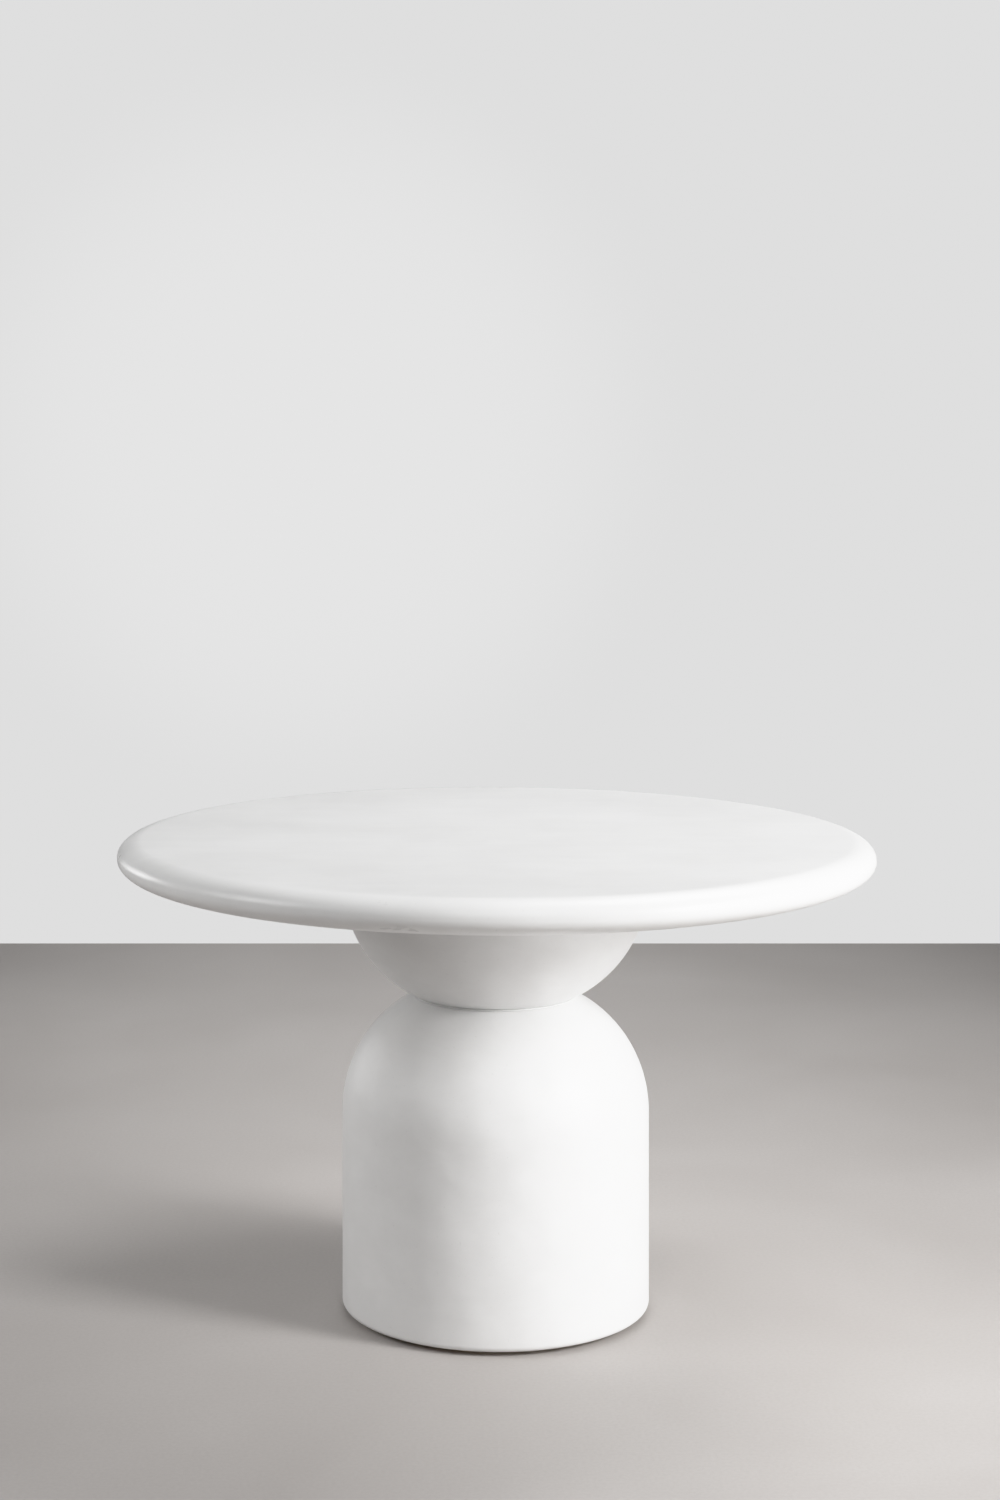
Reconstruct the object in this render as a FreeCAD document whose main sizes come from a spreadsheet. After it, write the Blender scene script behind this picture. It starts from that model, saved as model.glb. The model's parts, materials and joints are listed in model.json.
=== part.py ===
import FreeCAD, Part
import math
import os
import Sketcher

# Round pedestal table.  Three hollow castings in white fibre-cement (a round top with a soft rounded
# edge, a bowl and a domed drum) are clamped together by one steel rod on the table's axis.
# Frame: millimetres, +Z up, origin on the floor under the centre of the table.

SIZES = [
    ("table_height", 750, "floor to the flat of the top"),
    ("top_radius", 600, "radius over the rounded edge"),
    ("top_thickness", 55, "underside to the flat of the top"),
    ("upper_run", 38, "upper rounding, measured along the radius"),
    ("upper_drop", 25, "upper rounding, measured down"),
    ("edge_band", 2, "upright band between the two roundings"),
    ("under_run", 56, "lower rounding, measured along the radius"),
    ("top_skin", 10, "wall of the top's casting"),
    ("lip_width", 64, "flat lip of the casting on the underside"),
    ("pedestal_radius", 244, "radius of the drum and of the bowl's collar"),
    ("dome_radius", 200, "radius of the arc of the dome and of the bowl"),
    ("neck_radius", 127, "radius where the bowl meets the dome"),
    ("collar_height", 15, "upright collar of the bowl under the top"),
    ("pedestal_wall", 14, "wall of the bowl and of the drum"),
    ("neck_wall", 16, "floor of the bowl and crown of the drum"),
    ("floor_gap", 7, "shadow gap between the drum and the floor"),
    ("drum_round", 9, "rounding of the drum's lower edge"),
    ("gasket_thickness", 1, "rubber ring in the neck joint"),
    ("bead_radius", 1.5, "bead of the rubber ring around the neck"),
    ("bead_reach", 2.3, "middle of the bead outside the neck, on the radius"),
    ("plate_thickness", 6, "steel plates"),
    ("plate_play", 1, "steel plates inside the castings, on the radius"),
    ("joint_play", 0.5, "glued joints between boards and castings"),
    ("hole_play", 0.1, "pins, screws and inserts in their holes, on the radius"),
    ("thread_play", 0.05, "turning threads and the foot's pivot, on the radius"),
    ("rod_radius", 8, "tie rod M16"),
    ("rod_hole", 12, "opening for the rod in both castings"),
    ("rod_tail", 11, "rod below its nut"),
    ("boss_length", 45, "threaded boss under the mounting plate"),
    ("rod_flats", 24, "boss and nut over the flats"),
    ("rod_nut_height", 13, "tie rod nut"),
    ("rod_washer_radius", 25, "tie rod washer"),
    ("rod_washer_height", 3, "tie rod washer"),
    ("dowel_radius", 5, "dowels in the neck joint"),
    ("dowel_inset", 37, "dowel circle inside the neck"),
    ("dowel_count", 4, "dowels"),
    ("plate_screw_count", 8, "screws of the mounting plate"),
    ("plate_screw_inset", 39, "screw circle inside the mounting plate"),
    ("bolt_radius", 4, "screw and bolt M8"),
    ("bolt_flats", 13, "head of M8 over the flats"),
    ("bolt_head", 5.3, "head of M8"),
    ("plate_screw_length", 34, "plate screw below its head"),
    ("washer_radius", 8, "washer M8"),
    ("washer_height", 1.6, "washer M8"),
    ("sleeve_radius", 6, "threaded sleeves in the core block"),
    ("sleeve_length", 22, "threaded sleeves in the core block"),
    ("board_thickness", 18, "base board"),
    ("cleat_width", 25, "cleats glued inside the drum"),
    ("cleat_height", 30, "cleats glued inside the drum"),
    ("cleat_sweep", 60, "angle each cleat covers, degrees"),
    ("cleat_count", 4, "cleats"),
    ("board_screw_count", 8, "board screws, two in each cleat"),
    ("board_screw_radius", 2.5, "shank of a board screw"),
    ("board_screw_head", 5, "radius of a board screw's pan head"),
    ("board_screw_head_height", 3, "height of a board screw's pan head"),
    ("board_screw_length", 38, "board screw above its head"),
    ("socket_flats", 3, "hexagonal socket of a board screw, over the flats"),
    ("socket_depth", 1.8, "hexagonal socket of a board screw"),
    ("ballast_height", 60, "concrete weight"),
    ("ballast_gap", 35, "weight to the cleats"),
    ("ballast_bolt_count", 4, "bolts of the weight"),
    ("ballast_bolt_inset", 60, "bolt circle inside the weight"),
    ("ballast_bolt_length", 55, "bolt above its head"),
    ("foot_count", 4, "levelling feet"),
    ("foot_inset", 40, "foot circle inside the drum's wall"),
    ("pad_radius", 20, "foot pad"),
    ("pad_height", 8, "foot pad"),
    ("pad_rim", 3.5, "upright rim of the foot pad"),
    ("pad_round", 1.5, "rounding under the pad's rim"),
    ("pad_hub", 8, "radius of the hub on the pad"),
    ("pivot_depth", 5.5, "stem's pivot in the pad"),
    ("pivot_radius", 3, "stem's pivot in the pad"),
    ("pivot_play", 0.1, "stem over the pad, along the axis"),
    ("foot_hex", 4, "height of the stem's spanner hexagon"),
    ("foot_gap", 3, "hexagon to the base board when screwed right in"),
    ("stem_tail", 12, "stem above the base board"),
    ("insert_radius", 5.5, "barrel of a foot insert"),
    ("insert_flange", 11, "radius of a foot insert's flange"),
    ("insert_flange_height", 1.5, "thickness of a foot insert's flange"),
]

SCREW_STEP = 22.5      # degrees from a cleat's middle to its board screws
FOOT_STEP = 45         # degrees from the first cleat to the first foot

# Heights and radii that follow from the sizes, as expressions for the features to be bound to.
UNDERSIDE = "(Sizes.table_height - Sizes.top_thickness)"
CAVITY_FLOOR = f"({UNDERSIDE} + Sizes.top_skin)"
CAVITY_ROOF = "(Sizes.table_height - Sizes.top_skin)"
UPPER_CENTRE = "(Sizes.table_height - Sizes.upper_drop)"
LOWER_CENTRE = f"({UPPER_CENTRE} - Sizes.edge_band)"
UPPER_START = "(Sizes.top_radius - Sizes.upper_run)"
LOWER_START = "(Sizes.top_radius - Sizes.under_run)"
LIP_RADIUS = f"({LOWER_START} - Sizes.lip_width)"

ARC_AXIS = "(Sizes.pedestal_radius - Sizes.dome_radius)"
DOME_RISE = f"sqrt(Sizes.dome_radius^2 - (Sizes.neck_radius - {ARC_AXIS})^2)"
BOWL_SPRING = f"({UNDERSIDE} - Sizes.collar_height)"
BOWL_BOTTOM = f"({BOWL_SPRING} - {DOME_RISE})"
CROWN_TOP = f"({BOWL_BOTTOM} - Sizes.gasket_thickness)"
DRUM_SPRING = f"({CROWN_TOP} - {DOME_RISE})"
NECK_MIDDLE = f"({BOWL_BOTTOM} - Sizes.gasket_thickness / 2)"
BEAD_CENTRE = "(Sizes.neck_radius + Sizes.bead_reach)"
BOWL_FLOOR = f"({BOWL_BOTTOM} + Sizes.neck_wall)"
CROWN_UNDERSIDE = f"({CROWN_TOP} - Sizes.neck_wall)"
INNER_RADIUS = "(Sizes.pedestal_radius - Sizes.pedestal_wall)"
INNER_DOME = "(Sizes.dome_radius - Sizes.pedestal_wall)"
INNER_NECK = f"({ARC_AXIS} + sqrt({INNER_DOME}^2 - ({DOME_RISE} - Sizes.neck_wall)^2))"
DOWEL_CIRCLE = "(Sizes.neck_radius - Sizes.dowel_inset)"

PLATE_RADIUS = f"({INNER_RADIUS} - Sizes.plate_play)"
PLATE_BOTTOM = f"({UNDERSIDE} - Sizes.plate_thickness)"
SCREW_CIRCLE = f"({PLATE_RADIUS} - Sizes.plate_screw_inset)"
WASHER_BOTTOM = f"({PLATE_BOTTOM} - Sizes.washer_height)"
HEX_CORNER = "/ sqrt(3)"

NECK_PLATE_BOTTOM = f"({CROWN_UNDERSIDE} - Sizes.plate_thickness)"
NUT_TOP = f"({NECK_PLATE_BOTTOM} - Sizes.rod_washer_height)"
NUT_BOTTOM = f"({NUT_TOP} - Sizes.rod_nut_height)"
ROD_BOTTOM = f"({NUT_BOTTOM} - Sizes.rod_tail)"

HEX_BOTTOM = "(Sizes.pad_height + Sizes.pivot_play)"
HEX_TOP = f"({HEX_BOTTOM} + Sizes.foot_hex)"
BOARD_BOTTOM = f"({HEX_TOP} + Sizes.foot_gap)"
BOARD_TOP = f"({BOARD_BOTTOM} + Sizes.board_thickness)"
CLEAT_OUTER = f"({INNER_RADIUS} - Sizes.joint_play)"
CLEAT_INNER = f"({CLEAT_OUTER} - Sizes.cleat_width)"
CLEAT_CIRCLE = f"({CLEAT_OUTER} - Sizes.cleat_width / 2)"
BALLAST_RADIUS = f"({CLEAT_INNER} - Sizes.ballast_gap)"
BALLAST_CIRCLE = f"({BALLAST_RADIUS} - Sizes.ballast_bolt_inset)"
FOOT_CIRCLE = f"({INNER_RADIUS} - Sizes.foot_inset)"

PIECES = []


def build_sheet(doc):
    """The driving sizes, one row each: name, value, what it is."""
    sheet = doc.addObject("Spreadsheet::Sheet", "Sizes")
    for row, (name, number, meaning) in enumerate(SIZES, 1):
        sheet.set(f"A{row}", name)
        sheet.set(f"B{row}", str(number))
        sheet.set(f"C{row}", meaning)
        sheet.setAlias(f"B{row}", name)
    doc.recompute()
    return sheet


def value(doc, text):
    """The number that an expression gives now."""
    return float(doc.Sizes.evalExpression(text))


# ---- sketches and features -------------------------------------------------------------------------

def origin_part(body, role):
    return next(part for part in body.Origin.OriginFeatures if part.Role == role)


def new_body(doc, name):
    body = doc.addObject("PartDesign::Body", name)
    body.Label = name
    body.AllowCompound = True
    PIECES.append(body)
    return body


def new_sketch(body, name, role, x="0", y="0", lift="0"):
    """A sketch on one of the body's origin planes, shifted in that plane by x and y and off it by lift."""
    sketch = body.newObject("Sketcher::SketchObject", f"{body.Name}_{name}")
    sketch.AttachmentSupport = [(origin_part(body, role), "")]
    sketch.MapMode = "FlatFace"
    for direction, text in (("x", x), ("y", y), ("z", lift)):
        if text != "0":
            sketch.setExpression(f"AttachmentOffset.Base.{direction}", text)
    return sketch


def bind(sketch, kind, *rest):
    """A dimension whose size comes from an expression, the last item of rest."""
    *places, text = rest
    number = value(sketch.Document, text)
    index = sketch.addConstraint(Sketcher.Constraint(kind, *places, number))
    sketch.setExpression(f"Constraints[{index}]", text)


def fix_point(sketch, geometry, point, x, z):
    """A point at x and z from the sketch's origin; "0" puts it on that axis."""
    if x == "0":
        sketch.addConstraint(Sketcher.Constraint("PointOnObject", geometry, point, -2))
    else:
        bind(sketch, "DistanceX", -1, 1, geometry, point, x)
    if z == "0":
        sketch.addConstraint(Sketcher.Constraint("PointOnObject", geometry, point, -1))
    else:
        bind(sketch, "DistanceY", -1, 1, geometry, point, z)


def curve_between(start, end, centre, wide, tall):
    """The short stretch of a circle or an upright ellipse, and which of its ends is start and which end."""
    turns = [math.atan2((p.y - centre.y) / tall, (p.x - centre.x) / wide) for p in (start, end)]
    forward = (turns[1] - turns[0]) % (2 * math.pi) < math.pi
    first, last = turns if forward else reversed(turns)
    if math.isclose(wide, tall):
        curve = Part.ArcOfCircle(Part.Circle(centre, FreeCAD.Vector(0, 0, 1), wide), first, last)
    else:
        side = centre + FreeCAD.Vector(wide, 0, 0)
        crest = centre + FreeCAD.Vector(0, tall, 0)
        curve = Part.ArcOfEllipse(Part.Ellipse(side, crest, centre), first, last)
    return curve, (1, 2) if forward else (2, 1)


def draw_outline(sketch, outline):
    """A closed outline.  Each corner is (x, z, edge to the next corner), where the edge is None for a
    line, ("arc", centre x, centre z, radius), or ("quarter", centre x, centre z) for a quarter ellipse."""
    doc = sketch.Document
    corners = [FreeCAD.Vector(value(doc, x), value(doc, z), 0) for x, z, edge in outline]
    ends = []
    for index, (x, z, edge) in enumerate(outline):
        start, end = corners[index], corners[(index + 1) % len(corners)]
        if edge is None:
            shape, order = Part.LineSegment(start, end), (1, 2)
        else:
            centre = FreeCAD.Vector(value(doc, edge[1]), value(doc, edge[2]), 0)
            wide = tall = (start - centre).Length
            if edge[0] == "quarter":
                wide = max(abs(start.x - centre.x), abs(end.x - centre.x))
                tall = max(abs(start.y - centre.y), abs(end.y - centre.y))
            shape, order = curve_between(start, end, centre, wide, tall)
        ends.append((sketch.addGeometry(shape, False), *order))
    for index, (x, z, edge) in enumerate(outline):
        geometry, first, last = ends[index]
        following = ends[(index + 1) % len(ends)]
        sketch.addConstraint(Sketcher.Constraint("Coincident", geometry, last, following[0], following[1]))
        fix_point(sketch, geometry, first, x, z)
        if edge and edge[0] == "arc":
            bind(sketch, "Radius", geometry, edge[3])
        if edge and edge[0] == "quarter":
            major_axis = sketch.GeometryCount
            sketch.exposeInternalGeometry(geometry)
            sketch.addConstraint(Sketcher.Constraint("Horizontal", major_axis))
            fix_point(sketch, geometry, 3, edge[1], edge[2])


def ring(inner, outer, bottom, top):
    """The outline of a plain ring, or of a disc if inner is "0"."""
    return [(inner, bottom, None), (outer, bottom, None), (outer, top, None), (inner, top, None)]


def revolve(body, outline, at="0", sweep=None):
    """The outline turned about the upright axis at distance "at" along X."""
    sketch = new_sketch(body, "outline", "XZ_Plane", x=at)
    draw_outline(sketch, outline)
    turned = body.newObject("PartDesign::Revolution", f"{body.Name}_turned")
    turned.Profile = sketch
    turned.ReferenceAxis = (sketch, ["V_Axis"])
    turned.Angle = 360
    if sweep:
        turned.Midplane = True
        turned.setExpression("Angle", sweep)
    return turned


def hexagon(body, flats, at, bottom):
    """The sketch of a hexagon on the height bottom, at distance "at" along X."""
    doc = body.Document
    sketch = new_sketch(body, "hexagon", "XY_Plane", x=at, lift=bottom)
    corner_radius = f"({flats} {HEX_CORNER})"
    reach = value(doc, corner_radius)
    corners = [FreeCAD.Vector(reach * math.cos(math.radians(60 * turn)),
                              reach * math.sin(math.radians(60 * turn)), 0) for turn in range(6)]
    sides = [sketch.addGeometry(Part.LineSegment(corners[turn - 1], corners[turn]), False)
             for turn in range(6)]
    circle = sketch.addGeometry(Part.Circle(FreeCAD.Vector(), FreeCAD.Vector(0, 0, 1), reach), True)
    sketch.addConstraint(Sketcher.Constraint("Coincident", circle, 3, -1, 1))
    bind(sketch, "Radius", circle, corner_radius)
    for turn in range(6):
        sketch.addConstraint(Sketcher.Constraint("Coincident", sides[turn - 1], 2, sides[turn], 1))
        sketch.addConstraint(Sketcher.Constraint("PointOnObject", sides[turn], 1, circle))
    for turn in range(5):
        sketch.addConstraint(Sketcher.Constraint("Equal", sides[turn], sides[turn + 1]))
    sketch.addConstraint(Sketcher.Constraint("PointOnObject", sides[0], 2, -1))
    return sketch


def pad_hexagon(body, flats, at, bottom, height):
    """A hexagonal head standing on the height bottom."""
    head = body.newObject("PartDesign::Pad", f"{body.Name}_head")
    head.Profile = hexagon(body, flats, at, bottom)
    head.setExpression("Length", height)
    return head


def pocket_hexagon(body, flats, at, bottom, depth):
    """A hexagonal socket cut upwards from the height bottom."""
    socket = body.newObject("PartDesign::Pocket", f"{body.Name}_socket")
    socket.Profile = hexagon(body, flats, at, bottom)
    socket.Reversed = True
    socket.setExpression("Length", depth)
    return socket


def repeat(body, features, count):
    """The features repeated about the table's axis."""
    pattern = body.newObject("PartDesign::PolarPattern", f"{features[0].Name}_pattern")
    pattern.Originals = features
    pattern.Axis = (origin_part(body, "Z_Axis"), [""])
    pattern.Angle = 360
    pattern.setExpression("Occurrences", count)
    body.Tip = pattern
    return pattern


def drill(body, name, radius, at, count, angle=0, up_to=None):
    """Round holes from below, on a circle of radius "at": right through, or blind up to a height."""
    body.Document.recompute()
    volume = body.Shape.Volume
    sketch = new_sketch(body, name, "XY_Plane",
                        x=f"{at} * cos({angle} deg)", y=f"{at} * sin({angle} deg)")
    circle = sketch.addGeometry(Part.Circle(FreeCAD.Vector(), FreeCAD.Vector(0, 0, 1), 1), False)
    sketch.addConstraint(Sketcher.Constraint("Coincident", circle, 3, -1, 1))
    bind(sketch, "Radius", circle, radius)
    hole = body.newObject("PartDesign::Pocket", f"{body.Name}_{name}_hole")
    hole.Profile = sketch
    hole.Reversed = True
    if up_to is None:
        hole.Type = "ThroughAll"
    else:
        hole.Type = "Length"
        hole.setExpression("Length", up_to)
    repeat(body, [hole], count)
    body.Document.recompute()
    if body.Shape.Volume >= volume:
        raise RuntimeError(f"{body.Label}: {name} cut nothing")


def turn_about_axis(piece, angle):
    """Turns a piece about the table's axis by an angle in degrees."""
    piece.Placement = FreeCAD.Placement(FreeCAD.Vector(),
                                        FreeCAD.Rotation(FreeCAD.Vector(0, 0, 1), angle))


# ---- the top ---------------------------------------------------------------------------------------

def tabletop_shell(doc):
    """The casting of the top: flat, rounded edge and a flat lip underneath, hollow inside."""
    revolve(new_body(doc, "tabletop_shell"), [
        ("0", "Sizes.table_height", None),
        (UPPER_START, "Sizes.table_height", ("quarter", UPPER_START, UPPER_CENTRE)),
        ("Sizes.top_radius", UPPER_CENTRE, None),
        ("Sizes.top_radius", LOWER_CENTRE, ("quarter", LOWER_START, LOWER_CENTRE)),
        (LOWER_START, UNDERSIDE, None),
        (LIP_RADIUS, UNDERSIDE, None),
        (LIP_RADIUS, CAVITY_FLOOR, None),
        (LOWER_START, CAVITY_FLOOR, ("quarter", LOWER_START, LOWER_CENTRE)),
        ("Sizes.top_radius - Sizes.top_skin", LOWER_CENTRE, None),
        ("Sizes.top_radius - Sizes.top_skin", UPPER_CENTRE, ("quarter", UPPER_START, UPPER_CENTRE)),
        (UPPER_START, CAVITY_ROOF, None),
        ("0", CAVITY_ROOF, None),
    ])


def tabletop_core(doc):
    """Light honeycomb that fills the top around the core block and runs out over the lip."""
    revolve(new_body(doc, "tabletop_core"),
            ring(f"({PLATE_RADIUS} + Sizes.joint_play)", f"({LOWER_START} - Sizes.joint_play)",
                 CAVITY_FLOOR, CAVITY_ROOF))


def core_block(doc):
    """Plywood disc in the middle of the top, which the threaded sleeves are let into."""
    body = new_body(doc, "core_block")
    revolve(body, ring("0", PLATE_RADIUS, CAVITY_FLOOR, CAVITY_ROOF))
    drill(body, "sleeve", "(Sizes.sleeve_radius + Sizes.hole_play)", SCREW_CIRCLE,
          "Sizes.plate_screw_count", up_to=f"({CAVITY_FLOOR} + Sizes.sleeve_length + Sizes.joint_play)")


def underside_skin(doc):
    """Disc that closes the underside, level with the casting's lip."""
    body = new_body(doc, "underside_skin")
    revolve(body, ring("0", f"({LIP_RADIUS} - Sizes.joint_play)", UNDERSIDE, CAVITY_FLOOR))
    drill(body, "screw", "(Sizes.bolt_radius + Sizes.joint_play)", SCREW_CIRCLE,
          "Sizes.plate_screw_count")


def mounting_plate(doc):
    """Steel disc under the top.  Its edge centres the bowl's collar, its middle carries the boss."""
    body = new_body(doc, "mounting_plate")
    revolve(body, ring("0", PLATE_RADIUS, PLATE_BOTTOM, UNDERSIDE))
    drill(body, "screw", "(Sizes.bolt_radius + Sizes.joint_play)", SCREW_CIRCLE,
          "Sizes.plate_screw_count")


def plate_sleeves(doc):
    """Threaded sleeves glued into the core block, one for each plate screw."""
    body = new_body(doc, "plate_sleeves")
    sleeve = revolve(body, ring("(Sizes.bolt_radius + Sizes.thread_play)", "Sizes.sleeve_radius",
                                CAVITY_FLOOR, f"({CAVITY_FLOOR} + Sizes.sleeve_length)"), SCREW_CIRCLE)
    repeat(body, [sleeve], "Sizes.plate_screw_count")


def plate_washers(doc):
    body = new_body(doc, "plate_washers")
    washer = revolve(body, ring("(Sizes.bolt_radius + Sizes.hole_play)", "Sizes.washer_radius",
                                WASHER_BOTTOM, PLATE_BOTTOM), SCREW_CIRCLE)
    repeat(body, [washer], "Sizes.plate_screw_count")


def plate_screws(doc):
    """Hexagon screws that hold the mounting plate to the top."""
    body = new_body(doc, "plate_screws")
    shank = revolve(body, ring("0", "Sizes.bolt_radius", WASHER_BOTTOM,
                               f"({WASHER_BOTTOM} + Sizes.plate_screw_length)"), SCREW_CIRCLE)
    head = pad_hexagon(body, "Sizes.bolt_flats", SCREW_CIRCLE,
                       f"({WASHER_BOTTOM} - Sizes.bolt_head)", "Sizes.bolt_head")
    repeat(body, [shank, head], "Sizes.plate_screw_count")


# ---- the pedestal ----------------------------------------------------------------------------------

def bowl_shell(doc):
    """The casting under the top: an open bowl, the drum's dome turned upside down."""
    body = new_body(doc, "bowl_shell")
    revolve(body, [
        ("Sizes.rod_hole", BOWL_BOTTOM, None),
        ("Sizes.neck_radius", BOWL_BOTTOM, ("arc", ARC_AXIS, BOWL_SPRING, "Sizes.dome_radius")),
        ("Sizes.pedestal_radius", BOWL_SPRING, None),
        ("Sizes.pedestal_radius", UNDERSIDE, None),
        (INNER_RADIUS, UNDERSIDE, None),
        (INNER_RADIUS, BOWL_SPRING, ("arc", ARC_AXIS, BOWL_SPRING, INNER_DOME)),
        (INNER_NECK, BOWL_FLOOR, None),
        ("Sizes.rod_hole", BOWL_FLOOR, None),
    ])
    drill(body, "dowel", "(Sizes.dowel_radius + Sizes.hole_play)", DOWEL_CIRCLE, "Sizes.dowel_count")


def neck_gasket(doc):
    """Thin rubber ring between the bowl and the drum, with a bead that fills the groove around it."""
    body = new_body(doc, "neck_gasket")
    revolve(body, [
        ("Sizes.rod_hole", CROWN_TOP, None),
        ("Sizes.neck_radius", CROWN_TOP, None),
        (BEAD_CENTRE, f"({NECK_MIDDLE} - Sizes.bead_radius)",
         ("arc", BEAD_CENTRE, NECK_MIDDLE, "Sizes.bead_radius")),
        (f"({BEAD_CENTRE} + Sizes.bead_radius)", NECK_MIDDLE,
         ("arc", BEAD_CENTRE, NECK_MIDDLE, "Sizes.bead_radius")),
        (BEAD_CENTRE, f"({NECK_MIDDLE} + Sizes.bead_radius)", None),
        ("Sizes.neck_radius", BOWL_BOTTOM, None),
        ("Sizes.rod_hole", BOWL_BOTTOM, None),
    ])
    drill(body, "dowel", "(Sizes.dowel_radius + Sizes.hole_play)", DOWEL_CIRCLE, "Sizes.dowel_count")


def neck_dowels(doc):
    """Pins that stop the bowl and the top from turning on the drum."""
    body = new_body(doc, "neck_dowels")
    dowel = revolve(body, ring("0", "Sizes.dowel_radius", CROWN_UNDERSIDE, BOWL_FLOOR), DOWEL_CIRCLE)
    repeat(body, [dowel], "Sizes.dowel_count")


def drum_shell(doc):
    """The casting that stands on the floor: an upright wall under a dome, open at the bottom."""
    body = new_body(doc, "drum_shell")
    revolve(body, [
        ("Sizes.rod_hole", CROWN_UNDERSIDE, None),
        (INNER_NECK, CROWN_UNDERSIDE, ("arc", ARC_AXIS, DRUM_SPRING, INNER_DOME)),
        (INNER_RADIUS, DRUM_SPRING, None),
        (INNER_RADIUS, "Sizes.floor_gap", None),
        ("(Sizes.pedestal_radius - Sizes.drum_round)", "Sizes.floor_gap",
         ("arc", "(Sizes.pedestal_radius - Sizes.drum_round)", "(Sizes.floor_gap + Sizes.drum_round)",
          "Sizes.drum_round")),
        ("Sizes.pedestal_radius", "(Sizes.floor_gap + Sizes.drum_round)", None),
        ("Sizes.pedestal_radius", DRUM_SPRING, ("arc", ARC_AXIS, DRUM_SPRING, "Sizes.dome_radius")),
        ("Sizes.neck_radius", CROWN_TOP, None),
        ("Sizes.rod_hole", CROWN_TOP, None),
    ])
    drill(body, "dowel", "(Sizes.dowel_radius + Sizes.hole_play)", DOWEL_CIRCLE, "Sizes.dowel_count")


def drum_neck_plate(doc):
    """Steel disc under the drum's crown, which spreads the rod's pull."""
    revolve(new_body(doc, "drum_neck_plate"),
            ring("(Sizes.rod_radius + Sizes.joint_play)", f"({INNER_NECK} - Sizes.plate_play)",
                 NECK_PLATE_BOTTOM, CROWN_UNDERSIDE))


# ---- the tie rod -----------------------------------------------------------------------------------

def hexagon_with_bore(doc, name, bottom, height, bore):
    """A hexagonal prism on the table's axis, bored through."""
    prism = doc.addObject("Part::Prism", f"{name}_prism")
    prism.Polygon = 6
    prism.setExpression("Circumradius", f"Sizes.rod_flats {HEX_CORNER}")
    prism.setExpression("Height", height)
    prism.setExpression("Placement.Base.z", bottom)
    hole = doc.addObject("Part::Cylinder", f"{name}_bore")
    hole.setExpression("Radius", bore)
    hole.setExpression("Height", height)
    hole.setExpression("Placement.Base.z", bottom)
    piece = doc.addObject("Part::Cut", name)
    piece.Label = name
    piece.Base = prism
    piece.Tool = hole
    PIECES.append(piece)


def tie_rod(doc):
    """Threaded rod from the boss, through the bowl and the neck, to the nut inside the drum."""
    rod = doc.addObject("Part::Cylinder", "tie_rod")
    rod.Label = "tie_rod"
    rod.setExpression("Radius", "Sizes.rod_radius")
    rod.setExpression("Height", f"{PLATE_BOTTOM} - {ROD_BOTTOM}")
    rod.setExpression("Placement.Base.z", ROD_BOTTOM)
    PIECES.append(rod)


def rod_washer(doc):
    revolve(new_body(doc, "rod_washer"),
            ring("(Sizes.rod_radius + Sizes.joint_play)", "Sizes.rod_washer_radius",
                 NUT_TOP, NECK_PLATE_BOTTOM))


# ---- the base --------------------------------------------------------------------------------------

def board_cleats(doc):
    """Plywood segments glued inside the drum, which the base board is screwed to."""
    body = new_body(doc, "board_cleats")
    cleat = revolve(body, ring(CLEAT_INNER, CLEAT_OUTER, BOARD_TOP, f"({BOARD_TOP} + Sizes.cleat_height)"),
                    sweep="Sizes.cleat_sweep")
    repeat(body, [cleat], "Sizes.cleat_count")
    drill(body, "screw", "(Sizes.board_screw_radius + Sizes.hole_play)", CLEAT_CIRCLE,
          "Sizes.board_screw_count", SCREW_STEP,
          f"({BOARD_BOTTOM} + Sizes.board_screw_head_height + Sizes.board_screw_length + Sizes.joint_play)")


def base_board(doc):
    """Plywood disc set into the drum's open bottom.  It carries the feet and the weight."""
    body = new_body(doc, "base_board")
    revolve(body, ring("0", f"({INNER_RADIUS} - Sizes.plate_play)", BOARD_BOTTOM, BOARD_TOP))
    drill(body, "insert", "(Sizes.insert_radius + Sizes.hole_play)", FOOT_CIRCLE, "Sizes.foot_count",
          FOOT_STEP)
    drill(body, "flange", "(Sizes.insert_flange + Sizes.hole_play)", FOOT_CIRCLE, "Sizes.foot_count",
          FOOT_STEP, f"({BOARD_BOTTOM} + Sizes.insert_flange_height)")
    drill(body, "screw", "(Sizes.board_screw_radius + Sizes.hole_play)", CLEAT_CIRCLE,
          "Sizes.board_screw_count", SCREW_STEP)
    drill(body, "screw_head", "(Sizes.board_screw_head + Sizes.hole_play)", CLEAT_CIRCLE,
          "Sizes.board_screw_count", SCREW_STEP, f"({BOARD_BOTTOM} + Sizes.board_screw_head_height)")
    drill(body, "bolt", "(Sizes.bolt_radius + Sizes.hole_play)", BALLAST_CIRCLE,
          "Sizes.ballast_bolt_count")
    drill(body, "bolt_head", "Sizes.washer_radius", BALLAST_CIRCLE,
          "Sizes.ballast_bolt_count", up_to=f"({BOARD_BOTTOM} + Sizes.bolt_head)")


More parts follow.
